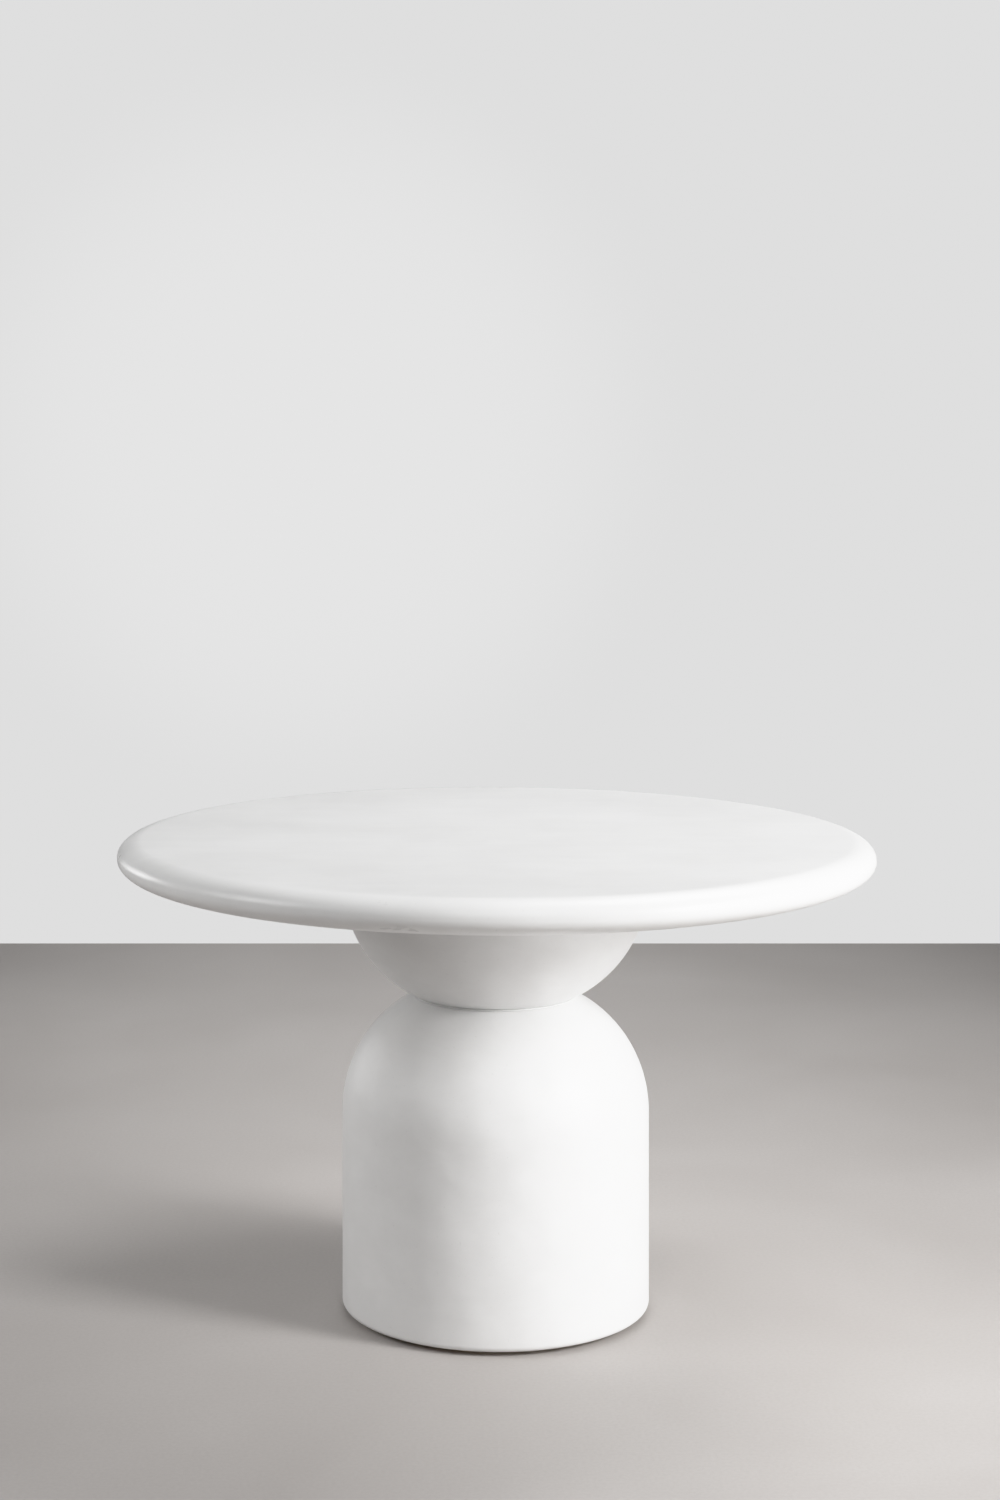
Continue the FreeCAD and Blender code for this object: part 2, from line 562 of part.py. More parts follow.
def board_screws(doc):
    """Pan-head socket screws through the base board into the cleats."""
    body = new_body(doc, "board_screws")
    head_top = f"({BOARD_BOTTOM} + Sizes.board_screw_head_height)"
    screw = revolve(body, [
        ("0", BOARD_BOTTOM, None),
        ("Sizes.board_screw_head", BOARD_BOTTOM, None),
        ("Sizes.board_screw_head", head_top, None),
        ("Sizes.board_screw_radius", head_top, None),
        ("Sizes.board_screw_radius", f"({head_top} + Sizes.board_screw_length - Sizes.board_screw_head)",
         None),
        ("0", f"({head_top} + Sizes.board_screw_length)", None),
    ], CLEAT_CIRCLE)
    socket = pocket_hexagon(body, "Sizes.socket_flats", CLEAT_CIRCLE, BOARD_BOTTOM, "Sizes.socket_depth")
    repeat(body, [screw, socket], "Sizes.board_screw_count")
    turn_about_axis(body, SCREW_STEP)


def ballast_block(doc):
    """Concrete weight on the base board, which steadies the narrow base under the wide top."""
    body = new_body(doc, "ballast_block")
    revolve(body, ring("0", BALLAST_RADIUS, BOARD_TOP, f"({BOARD_TOP} + Sizes.ballast_height)"))
    drill(body, "bolt", "(Sizes.bolt_radius + Sizes.hole_play)", BALLAST_CIRCLE,
          "Sizes.ballast_bolt_count",
          up_to=f"({BOARD_BOTTOM} + Sizes.bolt_head + Sizes.ballast_bolt_length + Sizes.joint_play)")


def ballast_bolts(doc):
    """Bolts from below that hold the weight to the base board."""
    body = new_body(doc, "ballast_bolts")
    head_top = f"({BOARD_BOTTOM} + Sizes.bolt_head)"
    shank = revolve(body, ring("0", "Sizes.bolt_radius", head_top,
                               f"({head_top} + Sizes.ballast_bolt_length)"), BALLAST_CIRCLE)
    head = pad_hexagon(body, "Sizes.bolt_flats", BALLAST_CIRCLE, BOARD_BOTTOM, "Sizes.bolt_head")
    repeat(body, [shank, head], "Sizes.ballast_bolt_count")


# ---- the levelling feet ----------------------------------------------------------------------------

def foot_inserts(doc):
    """Flanged threaded inserts in the base board, one for each foot."""
    body = new_body(doc, "foot_inserts")
    bore = "(Sizes.bolt_radius + Sizes.thread_play)"
    insert = revolve(body, [
        (bore, BOARD_BOTTOM, None),
        ("Sizes.insert_flange", BOARD_BOTTOM, None),
        ("Sizes.insert_flange", f"({BOARD_BOTTOM} + Sizes.insert_flange_height)", None),
        ("Sizes.insert_radius", f"({BOARD_BOTTOM} + Sizes.insert_flange_height)", None),
        ("Sizes.insert_radius", BOARD_TOP, None),
        (bore, BOARD_TOP, None),
    ], FOOT_CIRCLE)
    repeat(body, [insert], "Sizes.foot_count")
    turn_about_axis(body, FOOT_STEP)


def stand_at_foot(piece, number):
    """Moves a piece made on the table's axis to the foot with that number."""
    angle = f"({FOOT_STEP} + 360 * {number - 1} / Sizes.foot_count) * 1 deg"
    piece.setExpression("Placement.Base.x", f"{FOOT_CIRCLE} * cos({angle})")
    piece.setExpression("Placement.Base.y", f"{FOOT_CIRCLE} * sin({angle})")


def foot_pad(doc, number):
    """Round plastic glide with a socket for the stem's pivot."""
    body = new_body(doc, f"foot_pad_{number}")
    socket = "(Sizes.pivot_radius + Sizes.thread_play)"
    socket_floor = "(Sizes.pad_height - Sizes.pivot_depth)"
    round_start = "(Sizes.pad_radius - Sizes.pad_round)"
    revolve(body, [
        ("0", "0", None),
        (round_start, "0", ("arc", round_start, "Sizes.pad_round", "Sizes.pad_round")),
        ("Sizes.pad_radius", "Sizes.pad_round", None),
        ("Sizes.pad_radius", "Sizes.pad_rim", None),
        ("Sizes.pad_hub", "Sizes.pad_height", None),
        (socket, "Sizes.pad_height", None),
        (socket, socket_floor, None),
        ("0", socket_floor, None),
    ])
    stand_at_foot(body, number)


def foot_stem(doc, number):
    """Threaded stem with a spanner hexagon and a pivot that turns in the pad."""
    body = new_body(doc, f"foot_stem_{number}")
    revolve(body, [
        ("0", "(Sizes.pad_height - Sizes.pivot_depth + Sizes.pivot_play)", None),
        ("Sizes.pivot_radius", "(Sizes.pad_height - Sizes.pivot_depth + Sizes.pivot_play)", None),
        ("Sizes.pivot_radius", HEX_BOTTOM, None),
        ("Sizes.bolt_radius", HEX_BOTTOM, None),
        ("Sizes.bolt_radius", f"({BOARD_TOP} + Sizes.stem_tail)", None),
        ("0", f"({BOARD_TOP} + Sizes.stem_tail)", None),
    ])
    pad_hexagon(body, "Sizes.bolt_flats", "0", HEX_BOTTOM, "Sizes.foot_hex")
    stand_at_foot(body, number)


# ---- the table -------------------------------------------------------------------------------------

def build(doc):
    build_sheet(doc)
    for piece in (tabletop_shell, tabletop_core, core_block, underside_skin, mounting_plate,
                  plate_sleeves, plate_washers, plate_screws, bowl_shell, neck_gasket, neck_dowels,
                  drum_shell, drum_neck_plate):
        piece(doc)
    hexagon_with_bore(doc, "rod_boss", f"({PLATE_BOTTOM} - Sizes.boss_length)", "Sizes.boss_length",
                      "Sizes.rod_radius + Sizes.thread_play")
    hexagon_with_bore(doc, "rod_nut", NUT_BOTTOM, "Sizes.rod_nut_height",
                      "Sizes.rod_radius + Sizes.thread_play")
    for piece in (tie_rod, rod_washer, board_cleats, base_board, board_screws, ballast_block,
                  ballast_bolts, foot_inserts):
        piece(doc)
    for number in range(1, int(value(doc, "Sizes.foot_count")) + 1):
        foot_pad(doc, number)
        foot_stem(doc, number)
    doc.recompute()


def check(doc):
    """Stops if any object failed or any piece is not a sound solid."""
    for thing in doc.Objects:
        if "Invalid" in thing.State or "Error" in thing.State:
            raise RuntimeError(f"{thing.Label} failed: {thing.State}")
    for piece in PIECES:
        if piece.Shape.isNull() or not piece.Shape.isValid() or not piece.Shape.Solids:
            raise RuntimeError(f"{piece.Label} is not a sound solid")


def export():
    os.makedirs("parts", exist_ok=True)
    for piece in PIECES:
        piece.Shape.exportStep(f"parts/{piece.Label}.step")
        box = piece.Shape.BoundBox
        print(f"{piece.Label:18s} solids {len(piece.Shape.Solids):2d}  volume {piece.Shape.Volume:12.1f}  "
              f"z {box.ZMin:8.2f} to {box.ZMax:8.2f}  r {box.XMax:7.2f}")


document = FreeCAD.newDocument("RoundPedestalTable")
build(document)
check(document)
export()
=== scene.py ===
import json
import math

import bpy
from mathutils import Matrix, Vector, noise


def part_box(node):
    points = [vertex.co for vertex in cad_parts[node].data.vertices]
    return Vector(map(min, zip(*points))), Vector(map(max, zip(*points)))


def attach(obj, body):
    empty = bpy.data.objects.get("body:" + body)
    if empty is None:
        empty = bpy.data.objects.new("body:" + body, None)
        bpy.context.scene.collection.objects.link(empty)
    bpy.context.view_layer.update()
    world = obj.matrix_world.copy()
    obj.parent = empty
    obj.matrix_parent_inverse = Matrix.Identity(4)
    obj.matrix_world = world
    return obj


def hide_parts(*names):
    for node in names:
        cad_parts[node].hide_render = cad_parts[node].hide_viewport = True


# Looks of the round pedestal table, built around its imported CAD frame.  Metres, +Z up, the table's
# axis at the origin and the floor at z = 0.

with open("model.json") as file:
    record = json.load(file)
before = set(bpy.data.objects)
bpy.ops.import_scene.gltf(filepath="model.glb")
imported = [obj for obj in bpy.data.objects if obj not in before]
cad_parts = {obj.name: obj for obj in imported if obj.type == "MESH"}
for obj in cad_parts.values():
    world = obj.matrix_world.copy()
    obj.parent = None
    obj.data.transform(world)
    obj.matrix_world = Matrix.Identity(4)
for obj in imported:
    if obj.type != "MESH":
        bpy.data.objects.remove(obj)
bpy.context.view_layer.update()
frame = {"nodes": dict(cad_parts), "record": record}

# ---- places taken from the frame -------------------------------------------------------------------

TOP_LOW, TOP_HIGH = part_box("tabletop_shell")
SKIN_LOW, SKIN_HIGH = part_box("underside_skin")
BOWL_LOW, BOWL_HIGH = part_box("bowl_shell")
DRUM_LOW, DRUM_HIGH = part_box("drum_shell")
BOARD_LOW, BOARD_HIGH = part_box("base_board")


def radius_of(low, high):
    """The radius that stays inside a round node's box, which its facets make a little uneven."""
    return min(high.x - low.x, high.y - low.y) / 2


TOP_RADIUS = radius_of(TOP_LOW, TOP_HIGH)
SKIN_RADIUS = radius_of(SKIN_LOW, SKIN_HIGH)
PEDESTAL_RADIUS = radius_of(DRUM_LOW, DRUM_HIGH)
TOP_SKIN = SKIN_HIGH.z - SKIN_LOW.z

# ---- sizes of the shapes, in metres ----------------------------------------------------------------

UPPER_RUN, UPPER_DROP = 0.038, 0.025       # upper rounding of the top's edge
EDGE_BAND = 0.002                          # upright band between the two roundings
UNDER_RUN = 0.056                          # lower rounding of the top's edge, along the radius
LIP_RADIUS = SKIN_RADIUS + 0.0005          # where the top's casting ends underneath
DOME_RADIUS = 0.200                        # arc of the dome and of the bowl
NECK_RADIUS = 0.127
ROD_HOLE = 0.012
PEDESTAL_WALL = 0.014
NECK_WALL = 0.016
DRUM_ROUND = 0.009                         # rounding of the drum's lower edge
ARRIS = 0.0012                             # softening of the cast edges
TOP_WAVE = 0.00012                         # how far the hand-trowelled surface wanders
PEDESTAL_WAVE = 0.00030

TOP_SEGMENTS = 288
PEDESTAL_SEGMENTS = 224
SHARP_FROM = 40                            # degrees between faces from which an edge stays sharp

# ---- steps along the outlines ----------------------------------------------------------------------

FLAT_STEPS, LIP_STEPS, ROOF_STEPS = 44, 5, 8
UPPER_STEPS, UNDER_STEPS, INNER_EDGE_STEPS = 32, 36, 16
UNDERSIDE_STEPS = 30
NECK_STEPS, ARC_STEPS, INNER_ARC_STEPS = 12, 56, 24
WALL_STEPS, ROUND_STEPS, COLLAR_STEPS = 34, 10, 4
BEAD_STEPS = 14


# ---- outlines --------------------------------------------------------------------------------------

def arc(centre, radii, start, end, steps):
    """Points of an ellipse's stretch from start to end, in degrees, as (radius, height) pairs."""
    turns = [math.radians(start + (end - start) * step / steps) for step in range(steps + 1)]
    return [(centre[0] + radii[0] * math.cos(turn), centre[1] + radii[1] * math.sin(turn))
            for turn in turns]


def run(start, end, steps):
    """Evenly spaced points of a straight run, without its two ends."""
    return [tuple(a + (b - a) * step / steps for a, b in zip(start, end)) for step in range(1, steps)]


def softened(before, corner, after, size, steps=4):
    """A corner replaced by a small curve that starts and ends that far from it."""
    corner = Vector(corner)
    first = corner + (Vector(before) - corner).normalized() * size
    last = corner + (Vector(after) - corner).normalized() * size
    points = []
    for step in range(steps + 1):
        share = step / steps
        points.append(tuple(first.lerp(corner, share).lerp(corner.lerp(last, share), share)))
    return points


# ---- meshes ----------------------------------------------------------------------------------------

def wander(point):
    """How much of the surface's wave is taken off at a point, from 0 to 1."""
    broad = noise.noise(point * 7.0)
    narrow = noise.noise(point * 19.0 + Vector((5.0, 1.0, 3.0)))
    return min(1.0, max(0.0, 0.5 + 0.5 * broad + 0.22 * narrow))


def winding(outline):
    """Twice the outline's area, positive where it runs counter-clockwise in radius and height."""
    return sum(before[0] * after[1] - after[0] * before[1]
               for before, after in zip(outline, outline[1:] + outline[:1]))


def lathe(name, outline, segments, wave=0.0):
    """A closed solid turned about the table's axis.  An outline whose first and last points are on the
    axis is a disc; any other outline is a closed ring."""
    if winding(outline) > 0:
        outline = outline[::-1]
    is_disc = outline[0][0] == 0.0
    rings = outline[1:-1] if is_disc else outline
    turns = [2 * math.pi * step / segments for step in range(segments)]
    vertices = [(radius * math.cos(turn), radius * math.sin(turn), height)
                for radius, height in rings for turn in turns]
    faces = []
    last_ring = len(rings) - 1
    bands = last_ring if is_disc else len(rings)
    for ring in range(bands):
        here, there = ring * segments, (ring + 1) % len(rings) * segments
        for step in range(segments):
            following = (step + 1) % segments
            faces.append((here + step, there + step, there + following, here + following))
    if is_disc:
        first_pole, last_pole = len(vertices), len(vertices) + 1
        vertices += [(0.0, 0.0, outline[0][1]), (0.0, 0.0, outline[-1][1])]
        for step in range(segments):
            following = (step + 1) % segments
            faces.append((first_pole, step, following))
            faces.append((last_pole, last_ring * segments + following, last_ring * segments + step))
    mesh = bpy.data.meshes.new(name)
    mesh.from_pydata(vertices, [], faces)
    mesh.update()
    if wave:
        normals = [vertex.normal.copy() for vertex in mesh.vertices]
        for vertex, normal in zip(mesh.vertices, normals):
            vertex.co -= normal * wave * wander(vertex.co)
    mesh.shade_smooth()
    mesh.set_sharp_from_angle(angle=math.radians(SHARP_FROM))
    mesh.update()
    piece = bpy.data.objects.new(name, mesh)
    bpy.context.scene.collection.objects.link(piece)
    return piece


# ---- materials -------------------------------------------------------------------------------------

class Shader:
    """A material's node tree with short calls for the nodes used here."""

    def __init__(self, name, roughness, metallic=0.0):
        self.material = bpy.data.materials.new(name)
        self.material.use_nodes = True
        self.tree = self.material.node_tree
        self.surface = self.tree.nodes["Principled BSDF"]
        self.surface.inputs["Roughness"].default_value = roughness
        self.surface.inputs["Metallic"].default_value = metallic
        self.place = self.tree.nodes.new("ShaderNodeTexCoord").outputs["Object"]

    def link(self, source, target):
        self.tree.links.new(source, target)

    def stretch(self, scale, turn=0.0):
        """Object coordinates stretched along each axis."""
        node = self.tree.nodes.new("ShaderNodeMapping")
        node.inputs["Scale"].default_value = scale
        node.inputs["Rotation"].default_value = (0.0, 0.0, turn)
        self.link(self.place, node.inputs["Vector"])
        return node.outputs["Vector"]

    def reach(self):
        """Distance from the upright axis, in metres."""
        node = self.tree.nodes.new("ShaderNodeVectorMath")
        node.operation = "LENGTH"
        self.link(self.stretch((1.0, 1.0, 0.0)), node.inputs[0])
        return node.outputs["Value"]

    def height(self):
        """Height above the floor, in metres."""
        node = self.tree.nodes.new("ShaderNodeSeparateXYZ")
        self.link(self.place, node.inputs[0])
        return node.outputs["Z"]

    def noise(self, scale, detail=3.0, roughness=0.5, distortion=0.0, place=None):
        node = self.tree.nodes.new("ShaderNodeTexNoise")
        node.inputs["Scale"].default_value = scale
        node.inputs["Detail"].default_value = detail
        node.inputs["Roughness"].default_value = roughness
        node.inputs["Distortion"].default_value = distortion
        self.link(place or self.place, node.inputs["Vector"])
        return node.outputs["Fac"]

    def spread(self, value, low, high, to_low=0.0, to_high=1.0):
        """The value's range from low to high spread over another range, and clamped to it."""
        node = self.tree.nodes.new("ShaderNodeMapRange")
        sockets = ("From Min", "From Max", "To Min", "To Max")
        for socket, number in zip(sockets, (low, high, to_low, to_high)):
            node.inputs[socket].default_value = number
        self.link(value, node.inputs["Value"])
        return node.outputs["Result"]

    def mix(self, share, first, second, blend="MIX"):
        """Two colours mixed, where each is an (r, g, b) or another node's output."""
        node = self.tree.nodes.new("ShaderNodeMix")
        node.data_type = "RGBA"
        node.blend_type = blend
        if isinstance(share, float):
            node.inputs[0].default_value = share
        else:
            self.link(share, node.inputs[0])
        for socket, colour in ((node.inputs[6], first), (node.inputs[7], second)):
            if isinstance(colour, tuple):
                socket.default_value = (*colour, 1.0)
            else:
                self.link(colour, socket)
        return node.outputs[2]

    def maths(self, operation, first, second):
        node = self.tree.nodes.new("ShaderNodeMath")
        node.operation = operation
        for socket, number in zip(node.inputs, (first, second)):
            if isinstance(number, float):
                socket.default_value = number
            else:
                self.link(number, socket)
        return node.outputs[0]

    def bump(self, height, depth, strength=1.0, under=None):
        """A bump of the given depth in metres, laid over another bump if one is given."""
        node = self.tree.nodes.new("ShaderNodeBump")
        node.inputs["Strength"].default_value = strength
        node.inputs["Distance"].default_value = depth
        self.link(height, node.inputs["Height"])
        if under:
            self.link(under, node.inputs["Normal"])
        return node.outputs["Normal"]

    def finish(self, colour, roughness, normal):
        """Joins the three outputs to the surface and gives the material."""
        for name, source in (("Base Color", colour), ("Roughness", roughness), ("Normal", normal)):
            self.link(source, self.surface.inputs[name])
        return self.material


def cement(name, streaks, dents, sheen, place_of_wear):
    """White microcement: faint clouds and trowel streaks, fine grain and pores, hand-pressed dents, and
    an edge that use has polished and scuffed.  sheen is the roughness of its smoothest strokes, and
    place_of_wear gives the edge's share from a shader."""
    shader = Shader(name, 0.45)
    clouds = shader.noise(4.2, detail=4.0, roughness=0.5, distortion=0.6)
    patches = shader.noise(17.0, detail=3.0, roughness=0.55, distortion=0.3)
    strokes = shader.noise(9.0, detail=5.0, roughness=0.62, distortion=0.8, place=shader.stretch(streaks))
    grain = shader.noise(620.0, detail=2.0, roughness=0.6)
    pit = shader.spread(shader.noise(260.0, detail=2.0, roughness=0.4), 0.69, 0.78)
    pressed = shader.noise(11.0, detail=2.0, roughness=0.38)
    worn = shader.maths("MULTIPLY", place_of_wear(shader), shader.spread(patches, 0.30, 0.70))
    colour = shader.mix(shader.spread(clouds, 0.3, 0.7), (0.798, 0.797, 0.793), (0.850, 0.850, 0.847))
    colour = shader.mix(shader.spread(patches, 0.35, 0.70, 0.0, 0.45), colour, (0.880, 0.880, 0.877))
    colour = shader.mix(shader.spread(strokes, 0.38, 0.68, 0.0, 0.34), colour, (0.765, 0.763, 0.758))
    colour = shader.mix(shader.spread(grain, 0.35, 0.75, 0.0, 0.07), colour, (0.700, 0.695, 0.685))
    colour = shader.mix(shader.maths("MULTIPLY", pit, 0.20), colour, (0.560, 0.550, 0.535))
    colour = shader.mix(shader.maths("MULTIPLY", worn, 0.16), colour, (0.745, 0.735, 0.715))
    roughness = shader.spread(strokes, 0.3, 0.7, sheen, sheen + 0.08)
    roughness = shader.maths("ADD", roughness, shader.spread(clouds, 0.3, 0.7, -0.02, 0.03))
    roughness = shader.maths("SUBTRACT", roughness, shader.maths("MULTIPLY", worn, 0.09))
    normal = shader.bump(pressed, dents)
    normal = shader.bump(strokes, 0.00016, 0.5, under=normal)
    normal = shader.bump(grain, 0.00005, 0.4, under=normal)
    normal = shader.bump(shader.maths("SUBTRACT", 1.0, pit), 0.00012, 0.3, under=normal)
    return shader.finish(colour, roughness, normal)


def rim_of_top(shader):
    """The top's rounded edge, where hands and sleeves pass."""
    return shader.spread(shader.reach(), TOP_RADIUS - UPPER_RUN, TOP_RADIUS - 0.010)


def foot_of_drum(shader):
    """The lowest band of the pedestal, where shoes and brooms pass."""
    return shader.spread(shader.height(), 0.060, 0.012)


def concrete(name, dark, light, scale):
    """Plain concrete: clouds, sand grain and pores."""
    shader = Shader(name, 0.8)
    clouds = shader.noise(3.0 * scale, detail=5.0, roughness=0.6, distortion=0.4)
    grain = shader.noise(240.0 * scale, detail=2.0)
    colour = shader.mix(shader.spread(clouds, 0.3, 0.7), dark, light)
    colour = shader.mix(shader.spread(grain, 0.3, 0.8, 0.0, 0.22), colour, dark)
    roughness = shader.spread(clouds, 0.3, 0.7, 0.62, 0.82)
    return shader.finish(colour, roughness, shader.bump(grain, 0.0003, 0.35))


def plywood(name):
    """Birch plywood: long grain, soft growth bands and sanded faces."""
    shader = Shader(name, 0.6)
    along = shader.stretch((1.0, 9.0, 26.0))
    bands = shader.noise(5.0, detail=4.0, roughness=0.55, distortion=1.6, place=along)
    fibre = shader.noise(70.0, detail=3.0, roughness=0.65, place=along)
    colour = shader.mix(shader.spread(bands, 0.3, 0.7), (0.560, 0.375, 0.205), (0.720, 0.530, 0.320))
    colour = shader.mix(shader.spread(fibre, 0.45, 0.75, 0.0, 0.4), colour, (0.380, 0.235, 0.120))
    roughness = shader.spread(fibre, 0.3, 0.7, 0.52, 0.72)
    return shader.finish(colour, roughness, shader.bump(fibre, 0.0002, 0.4))


def steel(name, dark, light, low, high, metallic):
    """Steel with a patchy coat: zinc plate or black paint, rubbed in places."""
    shader = Shader(name, high, metallic)
    patches = shader.noise(38.0, detail=4.0, roughness=0.6, distortion=0.5)
    scratches = shader.noise(60.0, detail=3.0, roughness=0.7, place=shader.stretch((1.0, 14.0, 3.0), 0.6))
    colour = shader.mix(shader.spread(patches, 0.3, 0.7), dark, light)
    colour = shader.mix(shader.spread(scratches, 0.6, 0.75, 0.0, 0.35), colour, light)
    roughness = shader.spread(patches, 0.3, 0.7, low, high)
    return shader.finish(colour, roughness, shader.bump(scratches, 0.00005, 0.35))


def soft_plastic(name, dark, light, scale):
    """Moulded plastic or rubber: fine texture and faint scuffs."""
    shader = Shader(name, 0.6)
    scuffs = shader.noise(45.0, detail=4.0, roughness=0.7, distortion=0.7)
    texture = shader.noise(scale, detail=2.0)
    colour = shader.mix(shader.spread(scuffs, 0.4, 0.75), dark, light)
    roughness = shader.spread(scuffs, 0.3, 0.7, 0.48, 0.7)
    return shader.finish(colour, roughness, shader.bump(texture, 0.00008, 0.5))


def honeycomb(name):
    """Paper honeycomb: thin brown paper cell walls, with painted shade filling the hollow cells between
    them.
    """
    shader = Shader(name, 0.9)
    cells = shader.tree.nodes.new("ShaderNodeTexVoronoi")
    cells.feature = "DISTANCE_TO_EDGE"
    cells.inputs["Scale"].default_value = 70.0
    shader.link(shader.stretch((1.0, 1.0, 0.02)), cells.inputs["Vector"])
    # Mask of the cells' hollows, 1 away from the cell walls: it carries the painted shade in the hollows
    # and their bump
    cell_hollows_and_shade = shader.spread(cells.outputs["Distance"], 0.03, 0.09)
    fibre = shader.noise(180.0, detail=3.0)
    paper = shader.mix(shader.spread(fibre, 0.3, 0.7), (0.46, 0.33, 0.20), (0.60, 0.46, 0.30))
    # painted shade: the hollow cells are painted dark brown, standing in for the shade inside them
    colour = shader.mix(cell_hollows_and_shade, paper, (0.16, 0.11, 0.07))
    return shader.finish(colour, shader.spread(fibre, 0.3, 0.7, 0.8, 0.95), shader.bump(cell_hollows_and_shade, -0.001, 0.6))


def pale_floor(name):
    """Pale floor with faint clouds, clear from below so that the underside can be looked at."""
    shader = Shader(name, 0.6)
    clouds = shader.noise(1.1, detail=5.0, roughness=0.6, distortion=0.5)
    grain = shader.noise(170.0, detail=2.0)
    colour = shader.mix(shader.spread(clouds, 0.3, 0.7), (0.440, 0.414, 0.398), (0.500, 0.476, 0.461))
    colour = shader.mix(shader.spread(grain, 0.35, 0.8, 0.0, 0.25), colour, (0.350, 0.328, 0.315))
    roughness = shader.spread(clouds, 0.3, 0.7, 0.5, 0.65)
    material = shader.finish(colour, roughness, shader.bump(grain, 0.0004, 0.3))
    nodes = shader.tree.nodes
    side = nodes.new("ShaderNodeNewGeometry").outputs["Backfacing"]
    clear = nodes.new("ShaderNodeBsdfTransparent").outputs[0]
    mixed = nodes.new("ShaderNodeMixShader")
    shader.link(side, mixed.inputs[0])
    shader.link(shader.surface.outputs[0], mixed.inputs[1])
    shader.link(clear, mixed.inputs[2])
    shader.link(mixed.outputs[0], nodes["Material Output"].inputs["Surface"])
    return material


# ---- the visible pieces ----------------------------------------------------------------------------

def dress(piece, body, slot, material, *nodes):
    """Gives a new piece its material and body, and puts it in the place of CAD nodes."""
    piece.data.materials.append(material)
    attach(piece, body)
    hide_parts(*nodes)


def tabletop(material):
    """The top's casting, outer and inner face, from the middle of the flat to the middle of its roof."""
    high, low = TOP_HIGH.z, TOP_LOW.z
    upper = (TOP_RADIUS - UPPER_RUN, high - UPPER_DROP)
    lower = (TOP_RADIUS - UNDER_RUN, high - UPPER_DROP - EDGE_BAND)
    under_rise = lower[1] - low
    roof = high - TOP_SKIN
    outline = [(0.0, high), *run((0.0, high), (upper[0], high), FLAT_STEPS)]
    outline += arc(upper, (UPPER_RUN, UPPER_DROP), 90, 0, UPPER_STEPS)
    outline += arc(lower, (UNDER_RUN, under_rise), 0, -90, UNDER_STEPS)
    outline += run((lower[0], low), (LIP_RADIUS, low), LIP_STEPS)
    outline += softened((lower[0], low), (LIP_RADIUS, low), (LIP_RADIUS, low + TOP_SKIN), ARRIS / 2)
    outline += [(LIP_RADIUS, low + TOP_SKIN)]
    outline += arc(lower, (UNDER_RUN - TOP_SKIN, under_rise - TOP_SKIN), -90, 0, INNER_EDGE_STEPS)
    outline += arc(upper, (UPPER_RUN - TOP_SKIN, UPPER_DROP - TOP_SKIN), 0, 90, INNER_EDGE_STEPS)
    outline += [*run((upper[0], roof), (0.0, roof), ROOF_STEPS), (0.0, roof)]
    dress(lathe("tabletop", outline, TOP_SEGMENTS, wave=TOP_WAVE), "root", "white_cement", material,
          "tabletop_shell")


def underside(material):
    """The disc that closes the top from below, with its edge softened."""
    low, high = SKIN_LOW.z, SKIN_HIGH.z
    outline = [(0.0, high), (SKIN_RADIUS, high)]
    outline += softened((SKIN_RADIUS, high), (SKIN_RADIUS, low), (0.0, low), ARRIS / 2)
    outline += [*run((SKIN_RADIUS, low), (0.0, low), UNDERSIDE_STEPS), (0.0, low)]
    dress(lathe("underside", outline, TOP_SEGMENTS, wave=TOP_WAVE), "root", "white_cement", material,
          "underside_skin")


def pedestal_half(spring, neck, open_end, foot_round):
    """Outline of the drum or, upside down, of the bowl: neck, arc, upright wall and open end.  spring
    is the height where the arc meets the wall; foot_round is None where the wall ends in a corner."""
    up = 1 if neck > spring else -1
    axis = PEDESTAL_RADIUS - DOME_RADIUS
    inner = DOME_RADIUS - PEDESTAL_WALL
    rise = abs(neck - spring)
    outer_turn = math.degrees(math.asin(rise / DOME_RADIUS)) * up
    inner_turn = math.degrees(math.asin((rise - NECK_WALL) / inner)) * up
    inner_radius = PEDESTAL_RADIUS - PEDESTAL_WALL
    inside = neck - NECK_WALL * up
    outer = arc((axis, spring), (DOME_RADIUS, DOME_RADIUS), outer_turn, 0, ARC_STEPS)
    outline = [(ROD_HOLE, inside), (ROD_HOLE, neck), *run((ROD_HOLE, neck), outer[0], NECK_STEPS)]
    outline += softened((ROD_HOLE, neck), outer[0], outer[1], ARRIS)
    outline += outer[1:]
    if foot_round:
        round_centre = (PEDESTAL_RADIUS - foot_round, open_end + foot_round)
        outline += run((PEDESTAL_RADIUS, spring), (PEDESTAL_RADIUS, round_centre[1]), WALL_STEPS)
        outline += arc(round_centre, (foot_round, foot_round), 0, -90, ROUND_STEPS)
    else:
        outline += run((PEDESTAL_RADIUS, spring), (PEDESTAL_RADIUS, open_end), COLLAR_STEPS)
        outline += softened((PEDESTAL_RADIUS, spring), (PEDESTAL_RADIUS, open_end),
                            (inner_radius, open_end), ARRIS / 2)
    outline += [(inner_radius, open_end)]
    outline += arc((axis, spring), (inner, inner), 0, inner_turn, INNER_ARC_STEPS)
    outline[-1] = (outline[-1][0], inside)
    return outline


def dome_rise():
    """Height of the dome's arc, from the top of the upright wall to the neck."""
    axis = PEDESTAL_RADIUS - DOME_RADIUS
    return math.sqrt(DOME_RADIUS ** 2 - (NECK_RADIUS - axis) ** 2)


def bowl(material):
    """The casting under the top."""
    neck = BOWL_LOW.z
    outline = pedestal_half(neck + dome_rise(), neck, BOWL_HIGH.z, None)
    dress(lathe("bowl", outline, PEDESTAL_SEGMENTS, wave=PEDESTAL_WAVE), "root", "white_cement", material,
          "bowl_shell")


def drum(material):
    """The domed casting that stands on the floor."""
    neck = DRUM_HIGH.z
    outline = pedestal_half(neck - dome_rise(), neck, DRUM_LOW.z, DRUM_ROUND)
    dress(lathe("drum", outline, PEDESTAL_SEGMENTS, wave=PEDESTAL_WAVE), "root", "white_cement", material,
          "drum_shell")


